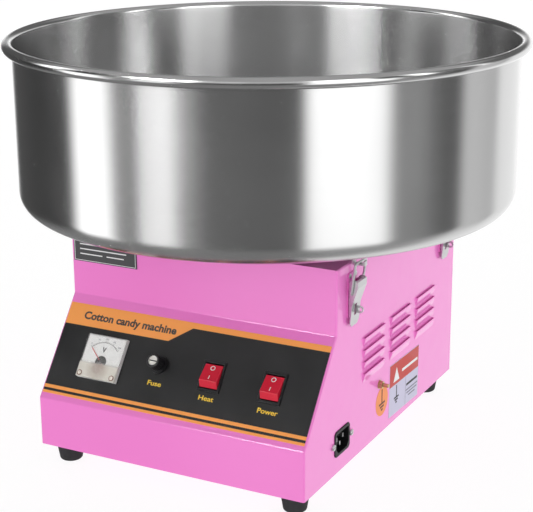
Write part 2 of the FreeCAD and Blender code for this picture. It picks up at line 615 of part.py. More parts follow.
def bowl():
    """Spun dish: flat floor, rounded lower corner, straight wall and a rim rolled outwards."""
    mid_r, mid_z = BOWL_R - BOWL_CORNER_R, BOWL_FLOOR + BOWL_CORNER_R
    lean = math.sqrt(0.5)
    in_r = BOWL_CORNER_R - BOWL_SHEET
    start, inner = V(COLLAR_R, 0, BOWL_FLOOR), V(COLLAR_R, 0, BOWL_FLOOR + BOWL_SHEET)
    corners = [V(mid_r, 0, BOWL_FLOOR), V(BOWL_R, 0, mid_z), V(BOWL_R, 0, BEAD_Z),
               V(BOWL_R - BOWL_SHEET, 0, BEAD_Z), V(BOWL_R - BOWL_SHEET, 0, mid_z),
               V(mid_r, 0, BOWL_FLOOR + BOWL_SHEET)]
    outer_mid = V(mid_r + BOWL_CORNER_R * lean, 0, mid_z - BOWL_CORNER_R * lean)
    inner_mid = V(mid_r + in_r * lean, 0, mid_z - in_r * lean)
    edges = [Part.makeLine(start, corners[0]), Part.Arc(corners[0], outer_mid, corners[1]).toShape(),
             Part.makeLine(corners[1], corners[2]), Part.makeLine(corners[2], corners[3]),
             Part.makeLine(corners[3], corners[4]), Part.Arc(corners[4], inner_mid, corners[5]).toShape(),
             Part.makeLine(corners[5], inner), Part.makeLine(inner, start)]
    dish = Part.Face(Part.Wire(edges)).revolve(V(0, 0, 0), V(0, 0, 1), 360)
    bead = Part.makeTorus(BEAD_RING_R, BEAD_R, V(0, 0, BEAD_Z)).cut(
        Part.makeTorus(BEAD_RING_R, BEAD_R - BOWL_SHEET, V(0, 0, BEAD_Z)))
    bead = bead.cut(tube(BEAD_RING_R - 1.0, BOWL_R + 0.05, BEAD_Z - BEAD_R - 1, BEAD_Z - 2.0))
    collar = tube(COLLAR_R, COLLAR_R - BOWL_SHEET, BOWL_FLOOR, COLLAR_TOP)
    return fuse([dish, bead, collar])


def bowl_seat():
    low, high = Z_TOP, BOWL_FLOOR - 2.0
    ring = fuse([tube(SEAT_R + 20.8, SEAT_R - SHEET, low, low + SHEET), tube(SEAT_R, SEAT_R - SHEET, low, high),
                 tube(SEAT_R + 4.8, SEAT_R - 9.2, high - SHEET, high)])
    holes = [rod(M4_HOLE, low - 1, low + 3, x, y) for x, y in seat_screw_places()]
    node("bowl_seat_ring", ring.cut(Part.makeCompound(holes)))
    node("bowl_gasket", tube(SEAT_R + 4.8, SEAT_R - 7.0, high, BOWL_FLOOR))
    screws = []
    for x, y in seat_screw_places():
        head_top = low + SHEET + M4_HEAD_H
        head = rod(M4_HEAD_R, low + SHEET, head_top, x, y)
        head = head.makeFillet(1.2, [e for e in head.Edges if e.BoundBox.ZMin > head_top - 0.01])
        screws.append(fuse([head, rod(M4_R, low - 6, low + SHEET, x, y)]))
    return screws


def motor():
    wall, boss_r, eye_r, air_gap = 3.0, 14.0, 8.0, 0.6
    bearings = ((MOTOR_LOW - 1, MOTOR_LOW - 1 + BEARING_W), (MOTOR_TOP - 1 - BEARING_W, MOTOR_TOP - 1))
    can = rod(MOTOR_R, MOTOR_LOW, MOTOR_TOP).cut(rod(MOTOR_R - wall, MOTOR_LOW - 1, MOTOR_TOP - wall))
    can = can.cut(rod(BEARING_R, *bearings[1])).cut(rod(eye_r, MOTOR_TOP - 5, MOTOR_TOP + 1))
    boss = tube(boss_r, BEARING_R, MOTOR_TOP - 10, MOTOR_TOP - wall)
    vents = [block(MOTOR_R - 6, MOTOR_R + 1, -4, 4, MOTOR_LOW + 6, MOTOR_LOW + 14)]
    slots = []
    for i in range(8):
        slot = vents[0].copy()
        slot.rotate(V(0, 0, 0), V(0, 0, 1), i * 45)
        slots.append(slot)
    node("motor_housing", fuse([can, boss]).cut(Part.makeCompound(slots)))
    cap = fuse([rod(MOTOR_R, MOTOR_LOW - 3, MOTOR_LOW), rod(boss_r, MOTOR_LOW, MOTOR_LOW + 7)])
    cap = cap.cut(rod(BEARING_R, MOTOR_LOW - 1, MOTOR_LOW + 8))
    node("motor_end_cap", cap.cut(rod(eye_r, MOTOR_LOW - 5, MOTOR_LOW + 8)))
    node("motor_bearings", *[tube(BEARING_R, SHAFT_R + RUNNING, low, high) for low, high in bearings])
    stator_in = 28.0
    node("motor_stator", tube(MOTOR_R - wall, stator_in, STACK_LOW, STACK_HIGH))
    node("motor_rotor", tube(stator_in - air_gap, SHAFT_R, STACK_LOW, STACK_HIGH))
    node("motor_shaft", rod(SHAFT_R, 88, HEAD_FLOOR + 22))
    hub = tube(12.0, SHAFT_R, 91, 105)
    blades = []
    for i in range(8):
        blade = block(10, 42, -1, 1, 92, 104)
        blade.rotate(V(26, 0, 98), V(1, 0, 0), 30)
        blade.rotate(V(0, 0, 0), V(0, 0, 1), i * 45)
        blades.append(blade)
    node("cooling_fan", fuse([hub] + [b.cut(rod(SHAFT_R, 80, 120)) for b in blades]))


def motor_mounting():
    plate_top = MOTOR_TOP + MOTOR_PLATE_T
    half = MOUNT_POS + 12
    plate = block(-half, half, -half, half, MOTOR_TOP, plate_top)
    holes = [rod(26.0, MOTOR_TOP - 1, plate_top + 1)]
    holes += [rod(M5_HOLE, MOTOR_TOP - 1, plate_top + 1, x, y) for x, y in mount_places()]
    node("motor_plate", plate.cut(Part.makeCompound(holes)))
    under = Z_TOP - SHEET
    node("vibration_mounts", *[tube(9.0, M5_HOLE, plate_top, under, x, y) for x, y in mount_places()])
    bolts = []
    for x, y in mount_places():
        bolts.append(fuse([hexagon(8, Z_TOP, Z_TOP + 3.5, x, y), rod(M5_R, MOTOR_TOP - 7, Z_TOP, x, y)]))
        bolts.append(hexagon(8, MOTOR_TOP - 4, MOTOR_TOP, x, y).cut(rod(M5_R, 0, Z_TOP, x, y)))
    node("motor_bolts", *bolts)


def slip_ring_set():
    hub = tube(HUB_R, SHAFT_R, 209.5, 233.0)
    for low, high in RING_HEIGHTS:
        hub = hub.cut(tube(RING_R, HUB_GROOVE_R, low, high))
    leads = [rod(LEAD_R, 200, 240, side * LEAD_AT, 0) for side in SIDES]
    node("slip_ring_hub", hub.cut(Part.makeCompound(leads)))
    node("slip_rings", *[tube(RING_R, HUB_GROOVE_R, low, high) for low, high in RING_HEIGHTS])
    low = MOTOR_TOP + MOTOR_PLATE_T
    holder = fuse([block(25, 46, -8, 8, low, 234), block(25, 62, -12, 12, low, low + 3)])
    brushes = []
    half = 2.2
    for ring_low, ring_high in RING_HEIGHTS:
        z = (ring_low + ring_high) / 2
        brushes.append(block(RING_R + 0.2, 38, -3, 3, z - half, z + half))
        holder = holder.cut(block(24, 44, -3, 3, z - half, z + half))
    node("brush_holder", holder)
    node("carbon_brushes", *brushes)


def spinning_head():
    skin = 1.5
    floor_top = HEAD_FLOOR + skin
    stud_places = [(STUD_PCD_R * math.cos(math.radians(a)), STUD_PCD_R * math.sin(math.radians(a)))
                   for a in (90, 210, 330)]
    studs = [rod(M4_R, HEAD_FLOOR - 5, HEAD_TOP + 5, x, y) for x, y in stud_places]
    leads = []
    for side in SIDES:
        bend = V(side * LEAD_AT, 0, COIL_ZS[1])
        leads.append(fuse([rod(LEAD_R, 209.5, COIL_ZS[1] + 1.5, side * LEAD_AT, 0),
                           rod_along(LEAD_R, bend, V(side * (COIL_R - 2), 0, COIL_ZS[1]))]))
    base = lathe([(SHAFT_R, 252), (16, 252), (16, HEAD_FLOOR), (50, HEAD_FLOOR), (50, 248), (51.2, 248),
                  (51.2, HEAD_FLOOR), (HEAD_R, HEAD_FLOOR), (HEAD_R, HEAD_FLOOR + 7),
                  (HEAD_R - skin, HEAD_FLOOR + 7), (HEAD_R - skin, floor_top), (16, floor_top),
                  (16, HEAD_FLOOR + 8), (SHAFT_R, HEAD_FLOOR + 8)])
    node("head_base", base.cut(Part.makeCompound(studs + leads)))
    coils = [Part.makeTorus(COIL_R, COIL_WIRE_R, V(0, 0, z)) for z in COIL_ZS]
    node("heating_element", *coils[:1], fuse([coils[1]] + leads), coils[2])
    band = tube(HEAD_R - 2.4, HEAD_R - 3.4, floor_top, HEAD_TOP)
    slots = []
    for i in range(48):
        slot = block(HEAD_R - 6, HEAD_R, -0.9, 0.9, floor_top + 5, HEAD_TOP - 5)
        slot.rotate(V(0, 0, 0), V(0, 0, 1), i * 7.5)
        slots.append(slot)
    node("perforated_band", band.cut(Part.makeCompound(slots)))
    cap = lathe([(24, HEAD_TOP), (HEAD_R, HEAD_TOP), (HEAD_R, HEAD_TOP + skin), (25.5, HEAD_TOP + skin),
                 (25.5, HEAD_TOP + 6), (24, HEAD_TOP + 6)])
    node("head_cap", cap.cut(Part.makeCompound(studs)))
    nuts = []
    for (x, y), stud in zip(stud_places, studs):
        dome = fuse([hexagon(7, HEAD_TOP + skin, HEAD_TOP + skin + 3, x, y),
                     Part.makeSphere(3.4, V(x, y, HEAD_TOP + skin + 3))])
        dome = dome.common(rod(5, HEAD_TOP + skin, HEAD_TOP + 12, x, y))
        nuts += [stud, dome.cut(stud), hexagon(7, HEAD_FLOOR - 3.2, HEAD_FLOOR, x, y).cut(stud)]
    node("head_studs", *nuts)


def internal_wires():
    """Single-core leads inside the cabinet, between the inlet, switches, fuse, meter and motor."""
    back = HALF_W - SHEET - 28
    routes = [
        [V(back, INLET_Y - 7, INLET_Z + 2), V(95, INLET_Y - 7, INLET_Z + 2), V(92, -130, 62), V(92, -130, 84)],
        [V(back, INLET_Y, INLET_Z - 3.5), V(100, INLET_Y, INLET_Z - 3.5), V(100, -60, 66),
         V(128, EARTH_Y, EARTH_Z), V(HALF_W - 9.3, EARTH_Y, EARTH_Z)],
        [V(back, INLET_Y + 7, INLET_Z + 2), V(86, INLET_Y + 7, INLET_Z + 2), V(60, -70, 64), V(30, -52, 100),
         V(30, -49, 120)],
    ]
    return [round_bar(points, 1.3, 4.0) for points in routes]


node("cabinet_shell", cabinet_shell())
node("bottom_plate", bottom_plate())
node("rubber_feet", *[rubber_foot(side * FOOT_X, y) for side in SIDES for y in FOOT_YS])
node("control_overlay", control_overlay())
node("name_plate", name_plate())
node("safety_label", safety_label())
earth_parts()
fuse_holder()
node("switch_terminals", *rocker_switch("heat", HEAT_X), *rocker_switch("power", POWER_X))
node("m3_screws", *voltmeter(), *power_inlet())
latches()
node("bowl", bowl())
node("m4_screws", *base_screws(), *bowl_seat())
motor()
motor_mounting()
slip_ring_set()
spinning_head()
node("internal_wires", *internal_wires())

os.makedirs("parts", exist_ok=True)
for name, shape in nodes.items():
    shape.exportStep("parts/" + name + ".step")
    print(name, len(shape.Solids), "valid" if shape.isValid() else "INVALID", round(shape.Volume))
print(len(nodes), "nodes")
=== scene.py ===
import math

import bmesh
import bpy
from mathutils import Matrix, Vector


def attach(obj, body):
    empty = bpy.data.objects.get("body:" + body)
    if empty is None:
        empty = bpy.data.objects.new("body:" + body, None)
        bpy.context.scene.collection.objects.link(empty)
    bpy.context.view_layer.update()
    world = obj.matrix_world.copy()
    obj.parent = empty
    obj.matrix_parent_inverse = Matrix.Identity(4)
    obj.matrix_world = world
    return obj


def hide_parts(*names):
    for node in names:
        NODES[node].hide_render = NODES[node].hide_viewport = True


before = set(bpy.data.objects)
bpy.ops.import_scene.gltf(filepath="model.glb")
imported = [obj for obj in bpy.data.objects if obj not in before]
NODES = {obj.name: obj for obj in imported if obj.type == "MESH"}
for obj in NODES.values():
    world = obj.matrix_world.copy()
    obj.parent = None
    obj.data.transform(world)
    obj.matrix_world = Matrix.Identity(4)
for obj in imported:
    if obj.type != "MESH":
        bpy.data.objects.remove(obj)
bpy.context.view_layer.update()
SCENE = bpy.context.scene
SCENE.view_settings.view_transform = "Standard"
MM = 0.001

# Places on the model that the printed marks follow, in millimetres, as part.py has them
HALF_W = 144.9
Y_FRONT, Y_UPPER = -209.3, -142.7
Z_SLOPE_LOW, Z_SLOPE_HIGH = 69.4, 158.0
SLOPE = math.atan2(Z_SLOPE_HIGH - Z_SLOPE_LOW, Y_UPPER - Y_FRONT)
FILM_TOP = 0.3
METER_X, METER_DOWN, METER_PIVOT_V, DIAL_TOP, WINDOW_TOP = -86.8, 61.5, -4.4, 4.4, 6.3
METER_SCREW_U, METER_SCREW_V = 18.3, -18.6
FUSE_X, FUSE_DOWN = -25.5, 56.8
SWITCHES = (("heat", 33.2), ("power", 97.3))
SWITCH_DOWN, ROCKER_PIVOT_N, ROCKER_FACE_N, ROCKER_TILT = 58.6, -4.9, 9.86, math.radians(16)
LABEL_Y, LABEL_Z, LABEL_TURN = 24.5, 54.5, math.radians(-1.5)
STICKER_Y, STICKER_Z = -33.5, 53.6
PAPER_T = 0.2
PLATE_X, PLATE_Y, PLATE_Z = -105.5, Y_UPPER - 1.0, 206.0

# Sizes of the printed marks themselves, in millimetres and degrees
PRINT_T, DIAL_PRINT_T = 0.06, 0.04
DIAL_R, DIAL_HALF_SWEEP, DIAL_STEPS = 19.6, 48.0, 20
NUMBERS_ACROSS, NUMBERS_UP, NUMBERS_FROM, NUMBERS_STEP = 23.0, 23.2, -44, 22
ROCKER_MARK_V, ROCKER_LINE = 5.0, 0.8
PLATE_EDGE_U, PLATE_EDGE_V, PLATE_LINE = 35.2, 12.3, 0.5

# Camera, found by fitting the photograph's edges: millimetres and radians
CAM_PLACE = (660.47, -1265.29, 613.07)
CAM_AZIMUTH, CAM_ELEVATION, CAM_ROLL = (math.radians(a) for a in (27.621, 17.013, -0.35))
CAM_LENS, CAM_SENSOR = 97.04, 36.0


def rgb(r, g, b):
    """Linear colour from 0-255 display values."""
    return tuple(c / 12.92 if c <= 0.04045 else ((c + 0.055) / 1.055) ** 2.4
                 for c in (r / 255, g / 255, b / 255))


# ---------------------------------------------------------------- camera, floor, light

def add_camera():
    az, el, roll = CAM_AZIMUTH, CAM_ELEVATION, CAM_ROLL
    back = Vector((math.sin(az) * math.cos(el), -math.cos(az) * math.cos(el), math.sin(el)))
    level = Vector((math.cos(az), math.sin(az), 0))
    rise = back.cross(level)
    right = level * math.cos(roll) + rise * math.sin(roll)
    up = rise * math.cos(roll) - level * math.sin(roll)
    data = bpy.data.cameras.new("camera")
    data.lens, data.sensor_width = CAM_LENS, CAM_SENSOR
    data.clip_start, data.clip_end = 0.05, 100
    camera = bpy.data.objects.new("camera", data)
    turn = Matrix((right, up, back)).transposed().to_4x4()
    camera.matrix_world = Matrix.Translation(Vector(CAM_PLACE) * MM) @ turn
    SCENE.collection.objects.link(camera)
    SCENE.camera = camera


class Nodes:
    """Adds nodes to a tree. Each method returns the new node's output socket."""

    def __init__(self, tree):
        self.tree = tree

    def plug(self, socket, value):
        if isinstance(value, bpy.types.NodeSocket):
            self.tree.links.new(value, socket)
        elif isinstance(value, tuple) and len(value) == 3 and socket.type == "RGBA":
            socket.default_value = (*value, 1)
        else:
            socket.default_value = value

    def add(self, kind, inputs=(), out=0, **settings):
        node = self.tree.nodes.new("ShaderNode" + kind)
        for key, value in settings.items():
            setattr(node, key, value)
        pairs = inputs.items() if isinstance(inputs, dict) else enumerate(inputs)
        for key, value in pairs:
            self.plug(node.inputs[key], value)
        return node.outputs[out]

    def calc(self, operation, *values):
        return self.add("Math", values, operation=operation)

    def dot(self, vector, axis, offset=0.0):
        along = self.add("VectorMath", (vector, tuple(axis)), out="Value", operation="DOT_PRODUCT")
        return self.calc("ADD", along, offset)

    def noise(self, vector, scale, detail=2.0, roughness=0.5):
        return self.add("TexNoise", {"Vector": vector, "Scale": scale, "Detail": detail,
                                     "Roughness": roughness})

    def spread(self, value, low, high, to_low=0.0, to_high=1.0):
        return self.add("MapRange", (value, low, high, to_low, to_high))

    def mix(self, share, a, b):
        node = self.tree.nodes.new("ShaderNodeMix")
        node.data_type = "RGBA"
        for index, value in ((0, share), (6, a), (7, b)):
            self.plug(node.inputs[index], value)
        return node.outputs[2]

    def ramp(self, value, stops, interpolation="LINEAR"):
        node = self.tree.nodes.new("ShaderNodeValToRGB")
        self.plug(node.inputs[0], value)
        band = node.color_ramp
        band.interpolation = interpolation
        while len(band.elements) < len(stops):
            band.elements.new(1.0)
        for element, (at, colour) in zip(band.elements, sorted(stops, key=lambda s: s[0])):
            element.position = at
            element.color = (*colour, 1) if isinstance(colour, tuple) else (colour, colour, colour, 1)
        return node.outputs[0]


class Look(Nodes):
    """A Principled material whose colour, roughness and bump come from the piece's own place."""

    def __init__(self, name, colour=(0.8, 0.8, 0.8), rough=0.5, metal=0.0, **sockets):
        self.material = bpy.data.materials.new(name)
        self.material.use_nodes = True
        super().__init__(self.material.node_tree)
        self.shader = self.tree.nodes["Principled BSDF"]
        self.place = self.add("TexCoord", out="Object")
        self.set(Base_Color=colour, Roughness=rough, Metallic=metal, **sockets)

    def set(self, **sockets):
        for name, value in sockets.items():
            self.plug(self.shader.inputs[name.replace("_", " ")], value)

    def bump(self, height, depth):
        return self.add("Bump", {"Strength": 1.0, "Distance": depth * MM, "Height": height})


# Strips of the studio that shiny surfaces mirror: (degrees right of the camera, brightness).
# The bowl's outside mirrors the low strips, its inside the high ones and its lower corner the ground.
LOW_STRIPS = (
    (-180, 1.35), (-166, 1.2), (-156, 0.10), (-106, 0.04), (-98, 0.07), (-91.5, 1.95), (-76, 1.95),
    (-69, 0.42), (-60, 0.28), (-56.5, 1.2), (-44, 1.3), (-37, 0.30), (-26, 0.13), (8, 0.095),
    (14.5, 0.085), (16.5, 0.90), (19, 1.75), (51, 1.75), (58, 0.32), (72, 0.25), (84, 0.12), (92, 0.10),
    (98, 0.76), (110, 0.68), (121, 0.58), (126, 1.05), (150, 1.05), (165, 1.2), (180, 1.35),
)
HIGH_STRIPS = (
    (-180, 0.1), (-116, 0.1), (-107, 3.0), (-100, 2.6), (-96, 0.02), (-80, 0.02), (-70, 0.3), (-50, 0.2),
    (-44, 5.0), (-33, 5.5), (-30, 0.6), (-13, 0.8), (-7, 0.6), (17, 0.6), (23, 3.1), (42, 3.1),
    (46, 0.1), (62, 0.1), (67, 3.0), (71, 3.0), (75, 0.2), (100, 0.2), (105, 2.4), (108, 0.15), (180, 0.15),
)
GROUND_STRIPS = (
    (-180, 0.3), (-120, 0.25), (-60, 0.25), (0, 0.24), (60, 0.32), (90, 0.50), (112, 0.95), (150, 1.1),
    (180, 0.3),
)
# A colour ramp holds values up to one, so the brightness is divided by this and multiplied back
STRIP_SCALE = 8.0
# A direction's rise is the sine of its height: where each table hands over to the next
TO_GROUND, TO_HIGH, TO_CEILING = (-0.55, -0.35), (0.05, 0.20), (0.48, 0.66)
CEILING_GREY = 0.45
# A bright patch some 30 degrees up, which the folds of the cabinet mirror in the right half of the picture
BAND_FROM, BAND_TO, BAND_LIGHT, BAND_RISE = -57, -49, 36.0, ((0.38, 0.43), (0.57, 0.52))
# The plain light that lights everything: brighter from the sides than from above
HORIZON_LIGHT, ZENITH_LIGHT, ZENITH_FROM = 1.92, 0.42, 0.62
# The floor: how far it reaches to each side in metres, its grey, and the light it gives off
FLOOR_HALF, FLOOR_GREY, FLOOR_GLOW = 14.0, 0.13, 0.91


def add_world():
    """Soft light for everything but mirrored rays, which see the studio's strips."""
    world = bpy.data.worlds.new("studio")
    SCENE.world = world
    world.use_nodes = True
    world.cycles.sampling_method = "NONE"
    tree = world.node_tree
    tree.nodes.clear()
    n = Nodes(tree)
    way = n.add("TexCoord", out="Generated")
    x, y, rise = (n.dot(way, axis) for axis in ((1, 0, 0), (0, 1, 0), (0, 0, 1)))
    turn = n.calc("ARCTAN2", x, n.calc("MULTIPLY", y, -1.0))
    turn = n.calc("DIVIDE", n.calc("SUBTRACT", turn, CAM_AZIMUTH), 2 * math.pi)
    turn = n.calc("FRACT", n.calc("ADD", turn, 1.5))
    ground, low, high = (n.ramp(turn, [((a + 180) / 360, v / STRIP_SCALE) for a, v in strips])
                         for strips in (GROUND_STRIPS, LOW_STRIPS, HIGH_STRIPS))
    seen = n.mix(n.spread(rise, *TO_HIGH), low, high)
    seen = n.mix(n.spread(rise, *TO_GROUND, 1.0, 0.0), seen, ground)
    seen = n.mix(n.spread(rise, *TO_CEILING), seen, (CEILING_GREY / STRIP_SCALE,) * 3)
    ends = [(a + 180) / 360 for a in (BAND_FROM - 4, BAND_FROM, BAND_TO, BAND_TO + 4)]
    band = n.ramp(turn, [(0.0, 0.0), (ends[0], 0.0), (ends[1], 1.0), (ends[2], 1.0), (ends[3], 0.0)])
    for limits in BAND_RISE:
        band = n.calc("MULTIPLY", band, n.spread(rise, *limits))
    seen = n.mix(band, seen, (BAND_LIGHT / STRIP_SCALE,) * 3)
    mirrored = n.add("Background", (seen, STRIP_SCALE))
    soft = n.spread(rise, 0.0, ZENITH_FROM, HORIZON_LIGHT, ZENITH_LIGHT)
    plain = n.add("Background", ((1.0, 1.0, 1.0), soft))
    shown = n.add("MixShader", (n.add("LightPath", out="Is Glossy Ray"), plain, mirrored))
    tree.links.new(shown, tree.nodes.new("ShaderNodeOutputWorld").inputs["Surface"])


def add_floor():
    mesh = bpy.data.meshes.new("floor")
    corners = [(x * FLOOR_HALF, y * FLOOR_HALF, 0) for x, y in ((-1, -1), (1, -1), (1, 1), (-1, 1))]
    mesh.from_pydata(corners, [], [(0, 1, 2, 3)])
    floor = bpy.data.objects.new("floor", mesh)
    SCENE.collection.objects.link(floor)
    look = Look("floor_paper", (FLOOR_GREY,) * 3, 0.85, Specular_IOR_Level=0.1,
                Emission_Color=(1.0, 1.0, 1.0), Emission_Strength=FLOOR_GLOW)
    look.set(Normal=look.bump(look.noise(look.place, 300.0, 3.0), 0.05))
    mesh.materials.append(look.material)
    floor.visible_glossy = False


# ---------------------------------------------------------------- places and thin printed shapes

def place_at(origin, right, up):
    """Local X right, local Y up and local Z out of a surface, at a point in millimetres."""
    right, up = Vector(right), Vector(up)
    axes = Matrix((right, up, right.cross(up))).transposed().to_4x4()
    return Matrix.Translation(Vector(origin) * MM) @ axes


def slope_place(x, down, out=0.0):
    """A place on the sloped panel: right of the centre line, down from the top edge, out of the face."""
    up = Vector((0, math.cos(SLOPE), math.sin(SLOPE)))
    face = place_at(Vector((x, Y_UPPER, Z_SLOPE_HIGH)) - up * down, (1, 0, 0), up)
    return face @ Matrix.Translation((0, 0, out * MM))


def side_place(y, z, out=0.0, turn=0.0):
    """A place on the cabinet's right side."""
    return place_at((HALF_W + out, y, z), (0, 1, 0), (0, 0, 1)) @ Matrix.Rotation(turn, 4, "Z")


def show(name, mesh, material, body):
    piece = bpy.data.objects.new(name, mesh)
    SCENE.collection.objects.link(piece)
    mesh.materials.append(material)
    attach(piece, body)
    return piece


def box_loop(x, y, w, h):
    return [(x - w / 2, y - h / 2), (x + w / 2, y - h / 2), (x + w / 2, y + h / 2), (x - w / 2, y + h / 2)]


def ring_loops(radius, width, start=0.0, end=360.0, steps=48, centre=(0.0, 0.0)):
    """Quads along an arc. Angles are degrees clockwise from straight up."""
    def at(r, share):
        angle = math.radians(start + (end - start) * share)
        return (centre[0] + r * math.sin(angle), centre[1] + r * math.cos(angle))
    inner, outer = radius - width / 2, radius + width / 2
    shares = [i / steps for i in range(steps + 1)]
    return [[at(inner, a), at(inner, b), at(outer, b), at(outer, a)] for a, b in zip(shares, shares[1:])]


def printed(name, loops, place, material, body="root", thick=PRINT_T):
    """A thin raised shape made of (x, y) loops in millimetres, lying on a surface."""
    bm = bmesh.new()
    for loop in loops:
        bm.faces.new([bm.verts.new((x * MM, y * MM, 0)) for x, y in loop])
    bmesh.ops.remove_doubles(bm, verts=bm.verts[:], dist=0.002 * MM)
    made = bmesh.ops.extrude_face_region(bm, geom=bm.faces[:])
    tops = [v for v in made["geom"] if isinstance(v, bmesh.types.BMVert)]
    bmesh.ops.translate(bm, verts=tops, vec=(0, 0, thick * MM))
    bmesh.ops.recalc_face_normals(bm, faces=bm.faces[:])
    mesh = bpy.data.meshes.new(name)
    bm.to_mesh(mesh)
    bm.free()
    mesh.transform(place)
    return show(name, mesh, material, body)


def lettering(name, text, place, w, h, material, body="root", weight=0.02, thick=PRINT_T):
    """Text in Blender's own font, fitted to a box of w by h millimetres round the place."""
    curve = bpy.data.curves.new(name, "FONT")
    curve.body, curve.offset, curve.extrude = text, weight, 0.01
    curve.resolution_u = 6
    writing = bpy.data.objects.new(name + "_curve", curve)
    SCENE.collection.objects.link(writing)
    bpy.context.view_layer.update()
    mesh = bpy.data.meshes.new_from_object(writing.evaluated_get(bpy.context.evaluated_depsgraph_get()))
    bpy.data.objects.remove(writing)
    mesh.name = name
    mesh.materials.clear()
    xs, ys, zs = zip(*(v.co for v in mesh.vertices))
    middle = Matrix.Translation((-(min(xs) + max(xs)) / 2, -(min(ys) + max(ys)) / 2, -min(zs)))
    fit = Matrix.Diagonal((w * MM / (max(xs) - min(xs)), h * MM / (max(ys) - min(ys)),
                           thick * MM / (max(zs) - min(zs)), 1))
    mesh.transform(place @ fit @ middle)
    return show(name, mesh, material, body)


# ---------------------------------------------------------------- materials

BLACK_INK, ORANGE_INK = rgb(26, 26, 27), rgb(252, 166, 88)
PINKS = (rgb(240, 127, 206), rgb(243, 132, 210))
PLATE, FUSE_FACE = (0.74, 0.74, 0.75), (0.50, 0.49, 0.46)
BOWL_STEEL = (0.66, 0.66, 0.66)
# Millimetres: the bright face sunk in the fuse cap, the black round the meter's pivot, and how far from the
# middle the latch plates are painted pink, a painted reflection of the pink side panel in their plated
# steel, and the small screws are those of the side panel
FUSE_FACE_R, FUSE_FACE_LOW = 4.65, 13.2
NEEDLE_HUB_R, METER_POCKET_R = 2.5, 6.3
LATCH_PINK_REFLECTION_TO, SIDE_FROM = 147.2, 130.0
# The panel film, in millimetres down from the slope's top: where each ink starts, and the slanted header
FILM_INKS = ((0.0, ORANGE_INK), (15.5, BLACK_INK), (96.0, ORANGE_INK), (99.5, BLACK_INK),
             (102.0, ORANGE_INK))
HEADER_DOWN, HEADER_WIDTH, HEADER_LEAN = 32.3, 121.2, 1.371
FILM_SPAN = 110.0


def panel_axes(look, x, down):
    """Distances in millimetres right of, up from and out of a place on the sloped panel."""
    origin = slope_place(x, down).translation
    axes = ((1, 0, 0), (0, math.cos(SLOPE), math.sin(SLOPE)), (0, -math.sin(SLOPE), math.cos(SLOPE)))
    return [look.dot(look.place, Vector(axis) / MM, -origin.dot(Vector(axis)) / MM) for axis in axes]


def length(look, a, b):
    return look.calc("SQRT", look.calc("ADD", look.calc("MULTIPLY", a, a), look.calc("MULTIPLY", b, b)))


def pink_paint(name, steel_from=None):
    """Gloss pink paint; anything further than steel_from to either side is left as bare plate. On the latch
    plates the pink nearer the middle is a painted reflection of the pink side panel in their plated steel.
    """
    look = Look(name, Specular_IOR_Level=0.15, Coat_Weight=1.0, Coat_Roughness=0.06)
    pink = look.mix(look.noise(look.place, 6.0, 3.0), *PINKS)
    rough = look.spread(look.noise(look.place, 60.0, 4.0), 0.3, 0.7, 0.36, 0.46)
    if steel_from:
        across = look.calc("ABSOLUTE", look.dot(look.place, (1 / MM, 0, 0)))
        bare = look.calc("GREATER_THAN", across, steel_from)
        pink = look.mix(bare, pink, PLATE)
        look.set(Metallic=bare)
    look.set(Base_Color=pink, Roughness=rough)
    look.set(Normal=look.bump(look.noise(look.place, 420.0, 2.0), 0.006))
    return look.material


def brushed_steel(name, tint, rough, spread, brushing):
    """Steel brushed round the Z axis, so that its highlights spread across the brushing."""
    look = Look(name, metal=1.0, Anisotropic=spread, Anisotropic_Rotation=0.25)
    x, y, z = (look.dot(look.place, axis) for axis in ((1, 0, 0), (0, 1, 0), (0, 0, 1)))
    across = look.calc("ADD", z, length(look, x, y))
    lines = look.add("CombineXYZ", (x, y, look.calc("MULTIPLY", across, 110.0)))
    fine = look.noise(lines, 16.0, 6.0, 0.8)
    broad = look.noise(look.place, 9.0, 2.0)
    dull = tuple(c * 0.94 for c in tint)
    look.set(Base_Color=look.mix(look.spread(fine, 0.3, 0.7), dull, tint))
    wear = look.calc("ADD", look.spread(fine, 0.2, 0.8, -0.02, 0.02),
                     look.spread(broad, 0.3, 0.7, -0.015, 0.02))
    look.set(Roughness=look.calc("ADD", wear, rough))
    look.set(Normal=look.bump(fine, brushing))
    look.set(Tangent=look.add("Tangent", direction_type="RADIAL", axis="Z"))
    return look.material


def worn_metal(name, tint, rough, grain=900.0, depth=0.01):
    look = Look(name, metal=1.0)
    speck = look.noise(look.place, grain, 3.0)
    smear = look.noise(look.place, 45.0, 4.0)
    look.set(Base_Color=look.mix(smear, tuple(c * 0.82 for c in tint), tint))
    look.set(Roughness=look.spread(smear, 0.3, 0.7, rough * 0.75, rough * 1.35))
    look.set(Normal=look.bump(speck, depth))
    return look.material


def moulded(name, colour, rough, grain=1500.0, depth=0.012, **sockets):
    look = Look(name, **sockets)
    patch = look.noise(look.place, 30.0, 3.0)
    look.set(Base_Color=look.mix(patch, tuple(c * 0.85 for c in colour), colour))
    look.set(Roughness=look.spread(patch, 0.3, 0.7, rough * 0.85, rough * 1.2))
    look.set(Normal=look.bump(look.noise(look.place, grain, 2.0), depth))
    return look.material


def fuse_cap_look():
    """Black plastic with a bright metal face sunk in its top."""
    look = Look("fuse_cap_plastic", Specular_IOR_Level=0.35)
    u, v, out = panel_axes(look, FUSE_X, FUSE_DOWN)
    face = look.calc("LESS_THAN", length(look, u, v), FUSE_FACE_R)
    face = look.calc("MULTIPLY", face, look.calc("GREATER_THAN", out, FUSE_FACE_LOW))
    grain = look.noise(look.place, 900.0, 3.0)
    black = look.mix(grain, rgb(24, 24, 26), rgb(30, 30, 32))
    look.set(Base_Color=look.mix(face, black, FUSE_FACE), Metallic=face)
    look.set(Roughness=look.spread(grain, 0.3, 0.7, 0.28, 0.38), Normal=look.bump(grain, 0.01))
    return look.material


